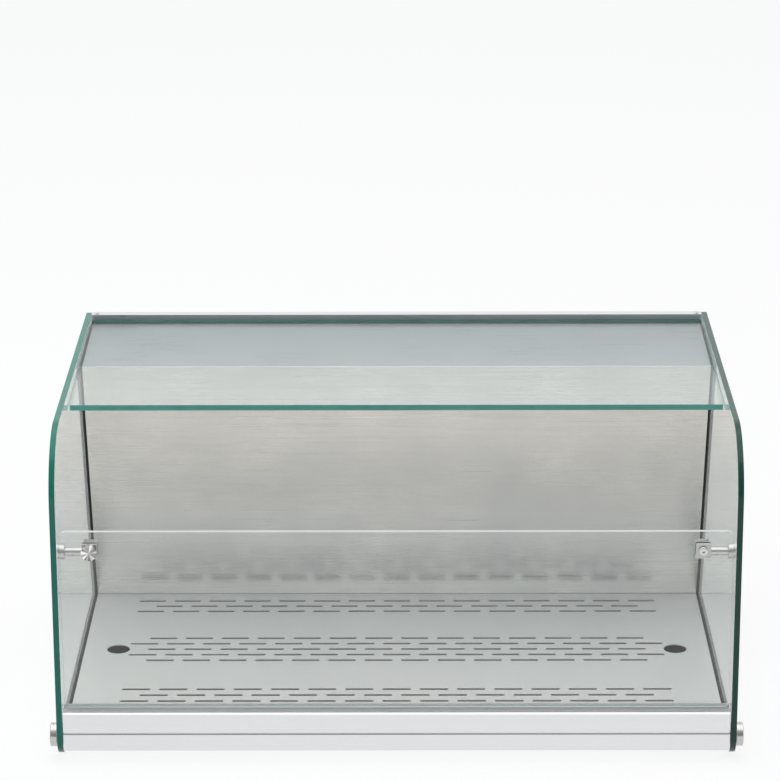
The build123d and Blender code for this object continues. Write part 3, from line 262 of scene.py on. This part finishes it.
# Base pan, side frames, compressor shelf and fan plate. Folded galvanised sheet,
# with the zinc's spangle and a little white bloom.
zinc_light = (0.62, 0.64, 0.66)
zinc_dark = (0.40, 0.42, 0.45)
zinc_rough = (0.32, 0.52)
spangle_scale = 130.0
bloom_scale = 900.0
bloom_depth = 0.00003


def cell_pattern(tree, scale):
    """Cells on the object's own coordinates."""
    place = add_node(tree, "ShaderNodeTexCoord")
    return add_node(tree, "ShaderNodeTexVoronoi", {"Vector": place.outputs["Object"], "Scale": scale})


galvanised, tree = new_material("galvanised_sheet")
spangle = cell_pattern(tree, spangle_scale)
crystal = add_node(tree, "ShaderNodeSeparateColor", {0: spangle.outputs["Color"]})
bloom = noise(tree, bloom_scale, detail=2.0)
finish(
    tree,
    {
        "Base Color": between(tree, crystal.outputs[0], zinc_dark, zinc_light),
        "Metallic": 1.0,
        "Roughness": spread(tree, crystal.outputs[1], *zinc_rough, start=0.0, end=1.0),
        "Normal": relief(tree, bloom, bloom_depth),
    },
)
dress(galvanised, "base_pan", "side_frame_left", "side_frame_right", "compressor_shelf", "fan_plate")


# Foam under the tray and round the cold room. Rigid foam boards, cut to size,
# cream coloured, with open cells on the cut faces.
foam_dark = (0.62, 0.52, 0.33)
foam_light = (0.78, 0.70, 0.50)
foam_rough = 0.85
foam_patch_scale = 25.0
foam_cell_scale = 700.0
foam_cell_depth = 0.0004

foam, tree = new_material("rigid_foam")
cells = cell_pattern(tree, foam_cell_scale)
patches = noise(tree, foam_patch_scale)
finish(
    tree,
    {
        "Base Color": between(tree, patches, foam_dark, foam_light),
        "Roughness": foam_rough,
        "Normal": relief(tree, cells.outputs["Distance"], foam_cell_depth),
    },
)
dress(foam, "base_insulation", "cold_room_foam")


# Inner liner, lift-out tray and leaning back wall. Folded sheet with a long grain from side
# to side: the wall is bright stainless whose colour carries a painted reflection, darker and greyer
# low down and lighter and warmer high up, the tray a paler satin, and the liner is steel painted
# near black as painted shade, so that the tray's slots read dark.
# Share of the colour that the painted reflection by height takes.
painted_reflection_share = 0.7
scratch_detail = 4.0
handling_detail = 5.0


def brushed_metal(
    name,
    first,
    second,
    rough,
    change,
    grain=(0.25, 0.0006, 0.0006),
    depth=0.000012,
    marks=12.0,
    bare=1.0,
    painted_reflection_heights=None,
):
    """Metal with a grain, coloured first..second.

    grain is a scratch's length each way and depth how deep it is, in metres. change is how far the
    roughness varies, marks the scale of the handling marks, bare how metallic the surface is, and
    the last argument the heights between which its colour goes from first to second as a painted
    reflection, darker low down and lighter high up."""
    material, tree = new_material(name)
    scratches = noise(tree, 1.0, grain, detail=scratch_detail)
    handling = noise(tree, marks, detail=handling_detail)
    tone = handling
    # Painted reflection: by height the colour goes from first low down to second high up.
    if painted_reflection_heights:
        place = add_node(tree, "ShaderNodeTexCoord")
        parts = add_node(tree, "ShaderNodeSeparateXYZ", {0: place.outputs["Object"]})
        painted_reflection_tone = spread(tree, parts.outputs["Z"], 0.0, painted_reflection_share, *painted_reflection_heights)
        tone = maths(tree, "ADD", painted_reflection_tone, spread(tree, handling, 0.0, 1.0 - painted_reflection_share))
    worn = spread(tree, handling, -change / 2, change / 2)
    grainy = spread(tree, scratches, rough - change, rough + change)
    finish(
        tree,
        {
            "Base Color": between(tree, tone, first, second),
            "Metallic": bare,
            "Roughness": maths(tree, "ADD", worn, grainy),
            "Normal": relief(tree, scratches, depth),
        },
    )
    return material


# The back wall's colour is a painted reflection by height: darker and greyer at the bottom, lighter and
# warmer at the top.
wall_steel = brushed_metal(
    "wall_steel",
    first=(0.535, 0.53, 0.525),
    second=(0.88, 0.835, 0.785),
    rough=0.24,
    change=0.05,
    depth=0.00013,
    painted_reflection_heights=(0.12, 0.30),
)
tray_steel = brushed_metal(
    "tray_steel",
    first=(0.92, 0.92, 0.92),
    second=(0.97, 0.97, 0.965),
    rough=0.34,
    change=0.05,
    depth=0.000002,
    bare=0.5,
)
# The liner is steel coloured near black as painted shade, so that the tray's slots read dark.
liner_steel_painted_shade = brushed_metal(
    "liner_steel_painted_shade",
    first=(0.03, 0.03, 0.03),
    second=(0.05, 0.05, 0.049),
    rough=0.6,
    change=0.05,
)
dress(wall_steel, "back_wall")
dress(tray_steel, "display_tray")
dress(liner_steel_painted_shade, "inner_liner")


# Evaporator, condenser, drier and pipes. Bent copper tube with brazed joints, and thin
# aluminium fins pressed on to the tubes; the rails and end blocks are the same bare aluminium.
copper_bright = (0.72, 0.33, 0.18)
copper_tarnished = (0.42, 0.17, 0.09)
copper_rough = (0.18, 0.42)
tarnish_scale = 70.0
copper_dent_scale = 400.0
copper_dent_depth = 0.00004

copper, tree = new_material("copper_tube")
tarnish = noise(tree, tarnish_scale, detail=6.0)
finish(
    tree,
    {
        "Base Color": between(tree, tarnish, copper_bright, copper_tarnished),
        "Metallic": 1.0,
        "Roughness": spread(tree, tarnish, *copper_rough),
        "Normal": relief(tree, noise(tree, copper_dent_scale), copper_dent_depth),
    },
)
dress(copper, "evaporator_coil", "condenser_coil", "refrigerant_pipes", "filter_drier")
mill_aluminium = brushed_metal(
    "mill_aluminium",
    first=(0.66, 0.67, 0.68),
    second=(0.76, 0.77, 0.78),
    rough=0.3,
    change=0.06,
    grain=(0.0008, 0.0008, 0.1),
)
dress(mill_aluminium, "evaporator_fins", "condenser_fins", "panel_screw_rails", "profile_end_blocks")


# Compressor. A welded steel shell with thick black enamel, glossy and slightly wavy,
# with a clear hard skin over it.
enamel_black = (0.008, 0.008, 0.009)
enamel_grey = (0.02, 0.02, 0.021)
enamel_rough = (0.2, 0.34)
enamel_coat = 0.6
enamel_coat_rough = 0.08
enamel_wave_scale = 90.0
enamel_wave_depth = 0.0004

enamel, tree = new_material("black_enamel")
wave = noise(tree, enamel_wave_scale)
finish(
    tree,
    {
        "Base Color": between(tree, wave, enamel_black, enamel_grey),
        "Roughness": spread(tree, wave, *enamel_rough),
        "Coat Weight": enamel_coat,
        "Coat Roughness": enamel_coat_rough,
        "Normal": relief(tree, wave, enamel_wave_depth),
    },
)
dress(enamel, "compressor")


# Fans, controller, switch, inlet, buttons and wiring. Moulded plastic, each with its own
# texture: matt on the housings, glossy on the rocker, soft on the wires.
plastic_mottle_scale = 45.0
plastic_glossier = 0.05
plastic_duller = 0.06


def moulded_plastic(name, first, second, rough, texture=1100.0, depth=0.00004):
    """Plastic from a mould, coloured first..second; texture is the scale of the mould's grain."""
    material, tree = new_material(name)
    mottle = noise(tree, plastic_mottle_scale, detail=4.0)
    grain = noise(tree, texture, detail=2.0)
    finish(
        tree,
        {
            "Base Color": between(tree, mottle, first, second),
            "Roughness": spread(tree, mottle, rough - plastic_glossier, rough + plastic_duller),
            "Normal": relief(tree, grain, depth),
        },
    )
    return material


housing_plastic = moulded_plastic(
    "black_plastic",
    first=(0.012, 0.012, 0.013),
    second=(0.022, 0.022, 0.023),
    rough=0.48,
)
rocker_plastic = moulded_plastic(
    "rocker_plastic",
    first=(0.01, 0.01, 0.011),
    second=(0.016, 0.016, 0.017),
    rough=0.16,
    depth=0.000008,
)
button_plastic = moulded_plastic(
    "grey_plastic",
    first=(0.16, 0.165, 0.17),
    second=(0.21, 0.215, 0.22),
    rough=0.42,
)
wire_plastic = moulded_plastic(
    "wire_plastic",
    first=(0.02, 0.02, 0.022),
    second=(0.04, 0.04, 0.042),
    rough=0.4,
    texture=300.0,
)
dress(
    housing_plastic,
    "condenser_fan_frame",
    "condenser_fan_rotor",
    "evaporator_fan_frames",
    "evaporator_fan_rotor_left",
    "evaporator_fan_rotor_right",
    "controller",
    "mains_inlet",
    "switch_body",
)
dress(rocker_plastic, "switch_rocker")
dress(button_plastic, "button_set", "button_up", "button_down")
dress(wire_plastic, "wiring_loom")


# Rear panel and housing top. Pressed steel sheet with a fine grain from side to side;
# the top, which shows through the glass, is a little bluer.
pressed_grain = (0.2, 0.0008, 0.0008)

panel_steel = brushed_metal(
    "panel_steel",
    first=(0.52, 0.53, 0.54),
    second=(0.60, 0.61, 0.62),
    rough=0.27,
    change=0.05,
    grain=pressed_grain,
)
top_steel = brushed_metal(
    "top_steel",
    first=(0.66, 0.70, 0.71),
    second=(0.72, 0.75, 0.76),
    rough=0.32,
    change=0.05,
    grain=pressed_grain,
)
dress(panel_steel, "rear_panel")
dress(top_steel, "housing_top")


# Front profile and rear rail. Extruded aluminium, anodised natural silver:
# satin, very pale, with fine die lines along its length.
anodised = brushed_metal(
    "silver_anodised",
    first=(0.76, 0.77, 0.785),
    second=(0.80, 0.81, 0.82),
    rough=0.3,
    change=0.03,
    grain=(0.4, 0.0007, 0.0007),
    depth=0.0000015,
)
dress(anodised, "front_profile", "rear_top_rail")


# Fins of the condenser and the evaporator. Thin aluminium plates threaded on to the tubes
# a few millimetres apart, so they are set out in a row by their pitch.
fin_thickness = 0.0003
fin_pitch = {"condenser_fins": 0.004, "evaporator_fins": 0.005}


def fin_row_tree():
    """A tree that sets out flat fins in a row, and gives them a material."""
    tree = bpy.data.node_groups.new("fin_row", "GeometryNodeTree")
    tree.interface.new_socket("Geometry", in_out="OUTPUT", socket_type="NodeSocketGeometry")
    kinds = {"Count": "Int", "Pitch": "Vector", "Size": "Vector", "First": "Vector", "Material": "Material"}
    for name, kind in kinds.items():
        tree.interface.new_socket(name, in_out="INPUT", socket_type="NodeSocket" + kind)
    given = add_node(tree, "NodeGroupInput").outputs
    row_inputs = {"Count": given["Count"], "Start Location": given["First"], "Offset": given["Pitch"]}
    row = add_node(tree, "GeometryNodeMeshLine", row_inputs)
    plate = add_node(tree, "GeometryNodeMeshCube", {"Size": given["Size"]})
    spots = {"Points": row.outputs["Mesh"], "Instance": plate.outputs["Mesh"]}
    plates = add_node(tree, "GeometryNodeInstanceOnPoints", spots)
    solid = add_node(tree, "GeometryNodeRealizeInstances", {"Geometry": plates.outputs["Instances"]})
    bare = {"Geometry": solid.outputs["Geometry"], "Material": given["Material"]}
    dressed = add_node(tree, "GeometryNodeSetMaterial", bare)
    add_node(tree, "NodeGroupOutput", {"Geometry": dressed.outputs["Geometry"]})
    return tree


def made_by_tree(name, tree, values):
    """A plain mesh object from a tree and the values of its named inputs."""
    start = bpy.data.objects.new(name + "_start", bpy.data.meshes.new(name + "_start"))
    scene.collection.objects.link(start)
    modifier = start.modifiers.new("rows", "NODES")
    modifier.node_group = tree
    for item in tree.interface.items_tree:
        if item.in_out == "INPUT":
            modifier[item.identifier] = values[item.name]
    bpy.context.view_layer.update()
    ready = start.evaluated_get(bpy.context.evaluated_depsgraph_get())
    mesh = bpy.data.meshes.new_from_object(ready)
    bpy.data.objects.remove(start)
    piece = bpy.data.objects.new(name, mesh)
    scene.collection.objects.link(piece)
    return piece


fin_tree = fin_row_tree()
for node, pitch in fin_pitch.items():
    low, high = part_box(node)
    count = int((high.x - low.x) / pitch)
    first_x = (low.x + high.x - (count - 1) * pitch) / 2
    values = {
        "Count": count,
        "Pitch": (pitch, 0.0, 0.0),
        "Size": (fin_thickness, high.y - low.y, high.z - low.z),
        "First": (first_x, (low.y + high.y) / 2, (low.z + high.z) / 2),
        "Material": mill_aluminium,
    }
    fins = made_by_tree(node.replace("_fins", "_fin_pack"), fin_tree, values)
    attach(fins, "case")
    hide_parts(node)


# Screws. Zinc-plated and stainless heads, turned and slightly worn,
# with fine marks that run no one way.
screw_steel = brushed_metal(
    "screw_steel",
    first=(0.60, 0.60, 0.61),
    second=(0.70, 0.70, 0.70),
    rough=0.2,
    change=0.06,
    grain=(0.001, 0.001, 0.001),
    marks=300.0,
)
dress(screw_steel, "clamp_screw", "foot_screws", "rail_screws", "rear_glass_screws", "rear_panel_screws")


# Side glasses, top glass and front pane. Float glass that is clear through its faces and
# green through its ground and polished edges; the two side glasses are one glass, with edges painted
# lighter on the left as painted light and darker on the right as painted shade. The low pane is
# whiter glass with near-white edges that are a painted reflection.
side_clear = (0.955, 0.985, 0.972)
glass_ior = 1.5
face_squareness = 0.96
edge_gloss = 0.35
edge_streak = 0.02
edge_smoother = 0.04
edge_rougher = 0.06


def float_glass(name, face_axis, clear, edge_dark, edge_light, edge_rough=0.12, slope=0.0):
    """Glass with clear faces square to face_axis, leaning by slope, and coloured edges elsewhere."""
    material, tree = new_material(name)
    tree.nodes.clear()
    output = add_node(tree, "ShaderNodeOutputMaterial")
    clear_face = {
        "Base Color": (*clear, 1.0),
        "Transmission Weight": 1.0,
        "Roughness": 0.0,
        "IOR": glass_ior,
    }
    faces = add_node(tree, "ShaderNodeBsdfPrincipled", clear_face)
    streak = noise(tree, 1.0 / edge_streak, detail=4.0)
    polished_edge = {
        "Base Color": between(tree, streak, edge_dark, edge_light),
        "Roughness": spread(tree, streak, edge_rough - edge_smoother, edge_rough + edge_rougher),
        "Specular IOR Level": edge_gloss,
    }
    edge = add_node(tree, "ShaderNodeBsdfPrincipled", polished_edge)
    way = add_node(tree, "ShaderNodeTexCoord")
    lean = {"Vector": way.outputs["Normal"], "Angle": slope}
    level = add_node(tree, "ShaderNodeVectorRotate", lean, rotation_type="X_AXIS")
    parts = add_node(tree, "ShaderNodeSeparateXYZ", {0: level.outputs[0]})
    squareness = maths(tree, "ABSOLUTE", parts.outputs[face_axis])
    is_edge = maths(tree, "LESS_THAN", squareness, face_squareness)
    glass = mix_shaders(tree, is_edge, faces, edge)
    lamp_light = add_node(tree, "ShaderNodeBsdfTransparent", {"Color": (*clear, 1.0)})
    rays = add_node(tree, "ShaderNodeLightPath")
    surface = mix_shaders(tree, rays.outputs["Is Shadow Ray"], glass, lamp_light)
    fill(tree, output, {"Surface": surface.outputs[0]})
    return material


# Left side glass: its edge green is painted lighter, as painted light.
left_glass_lit_edges = float_glass(
    "side_glass_left",
    face_axis="X",
    clear=side_clear,
    edge_dark=(0.0, 0.19, 0.13),
    edge_light=(0.012, 0.33, 0.24),
)
# Right side glass: the same glass with its edge green painted darker, as painted shade.
right_glass_shaded_edges = float_glass(
    "side_glass_right",
    face_axis="X",
    clear=side_clear,
    edge_dark=(0.004, 0.06, 0.042),
    edge_light=(0.012, 0.12, 0.086),
)
top_glass = float_glass(
    "top_glass",
    face_axis="Z",
    clear=(0.90, 0.965, 0.955),
    edge_dark=(0.06, 0.34, 0.28),
    edge_light=(0.14, 0.52, 0.44),
    slope=math.radians(-2),
)
# Front pane: its near-white edge colour is a painted reflection of the polished edges.
clear_pane = float_glass(
    "clear_pane",
    face_axis="Y",
    clear=(0.975, 0.99, 0.985),
    edge_dark=(0.86, 0.91, 0.90),
    edge_light=(0.97, 0.985, 0.98),
    edge_rough=0.08,
)
dress(left_glass_lit_edges, "side_glass_left")
dress(right_glass_shaded_edges, "side_glass_right")
dress(top_glass, "top_glass")
dress(clear_pane, "front_pane")


# Clamps, bushes, knob and glass caps. Turned and milled stainless steel, polished,
# with the fine rings that the lathe leaves round each piece's own axis.
lathe_smoother = 0.05
lathe_rougher = 0.08
# Contrast of the painted highlight's dark and bright wedges.
painted_highlight_contrast = (0.38, 0.62)


def turned_metal(
    name,
    axis,
    centre,
    first=(0.46, 0.455, 0.44),
    second=(0.66, 0.65, 0.635),
    rough=0.16,
    pitch=0.00045,
    sweep=0.0,
    depth=0.00002,
    painted_highlight_rays=0.0,
):
    """Steel turned on a lathe round an axis through centre, coloured first..second.

    pitch is how far apart its rings lie and depth how deep they are, in metres. sweep draws its gloss
    out round the axis, and the last argument is the scale of rays on its face, which then take the
    colour from first to second as a painted highlight of dark and bright wedges."""
    material, tree = new_material(name)
    if sweep:
        round_axis = add_node(tree, "ShaderNodeTangent", direction_type="RADIAL", axis=axis)
        finish(tree, {"Anisotropic": sweep, "Tangent": round_axis.outputs[0]})
    across = [0.0 if letter == axis else 1.0 for letter in "XYZ"]
    lengthways = [1.0 if letter == axis else 0.0 for letter in "XYZ"]
    place = add_node(tree, "ShaderNodeTexCoord")
    centred = {"Vector": place.outputs["Object"], "Location": [-part for part in centre]}
    from_centre = add_node(tree, "ShaderNodeMapping", centred).outputs[0]
    flat = add_node(tree, "ShaderNodeVectorMath", {0: from_centre, 1: across}, operation="MULTIPLY")
    radius = add_node(tree, "ShaderNodeVectorMath", {0: flat.outputs[0]}, operation="LENGTH")
    along = add_node(tree, "ShaderNodeVectorMath", {0: from_centre, 1: lengthways}, operation="DOT_PRODUCT")
    ring_place = maths(tree, "ADD", radius.outputs["Value"], along.outputs["Value"])
    ring_inputs = {"W": ring_place, "Scale": 1.0 / pitch, "Detail": 3.0}
    rings = add_node(tree, "ShaderNodeTexNoise", ring_inputs, noise_dimensions="1D").outputs["Fac"]
    tone = rings
    # Painted highlight: dark and bright wedges round the axis put into the colour.
    if painted_highlight_rays:
        outward = add_node(tree, "ShaderNodeVectorMath", {0: flat.outputs[0]}, operation="NORMALIZE")
        ray_inputs = {"Vector": outward.outputs[0], "Scale": painted_highlight_rays, "Detail": 4.0}
        rays = add_node(tree, "ShaderNodeTexNoise", ray_inputs).outputs["Fac"]
        tone = spread(tree, rays, 0.0, 1.0, *painted_highlight_contrast)
    finish(
        tree,
        {
            "Base Color": between(tree, tone, first, second),
            "Metallic": 1.0,
            "Roughness": spread(tree, rings, rough - lathe_smoother, rough + lathe_rougher),
            "Normal": relief(tree, rings, depth),
        },
    )
    return material


def middle(node):
    """The middle of a CAD node's box."""
    low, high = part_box(node)
    return (low + high) / 2


for side in ("left", "right"):
    cap = "glass_cap_" + side
    dress(turned_metal("turned_cap_" + side, "X", middle(cap), sweep=0.7), cap)
    body = "clamp_body_" + side
    dress(turned_metal("turned_clamp_" + side, "X", middle(body)), body)
dress(turned_metal("turned_bushes", "X", middle("swivel_bushes")), "swivel_bushes")
# The knob's face takes a painted highlight: wedges in its colour from near black to near white.
knob_steel_painted_highlight = turned_metal(
    "turned_knob_painted_highlight",
    "Y",
    middle("clamp_knob"),
    first=(0.16, 0.158, 0.155),
    second=(0.95, 0.94, 0.93),
    rough=0.2,
    pitch=0.0003,
    sweep=0.9,
    depth=0.00008,
    painted_highlight_rays=2.6,
)
dress(knob_steel_painted_highlight, "clamp_knob")
jaw_steel = brushed_metal(
    "jaw_steel",
    first=(0.42, 0.415, 0.405),
    second=(0.50, 0.495, 0.485),
    rough=0.26,
    change=0.05,
    grain=(0.02, 0.0005, 0.0005),
)
dress(jaw_steel, "clamp_jaws")


# Clamp pads and glass sleeves. Clear nylon, milky where it is thick, which keeps steel
# off glass in the two clamps and in the side glasses' holes.
nylon_dark = (0.62, 0.63, 0.61)
nylon_light = (0.78, 0.79, 0.77)
nylon_rough = (0.3, 0.45)
nylon_ior = 1.53
nylon_cloud_scale = 120.0
nylon_cloud_depth = 0.00003

nylon, tree = new_material("clear_nylon")
cloud = noise(tree, nylon_cloud_scale, detail=4.0)
finish(
    tree,
    {
        "Base Color": between(tree, cloud, nylon_dark, nylon_light),
        "Roughness": spread(tree, cloud, *nylon_rough),
        "IOR": nylon_ior,
        "Normal": relief(tree, cloud, nylon_cloud_depth),
    },
)
dress(nylon, "clamp_pads", "glass_sleeves")
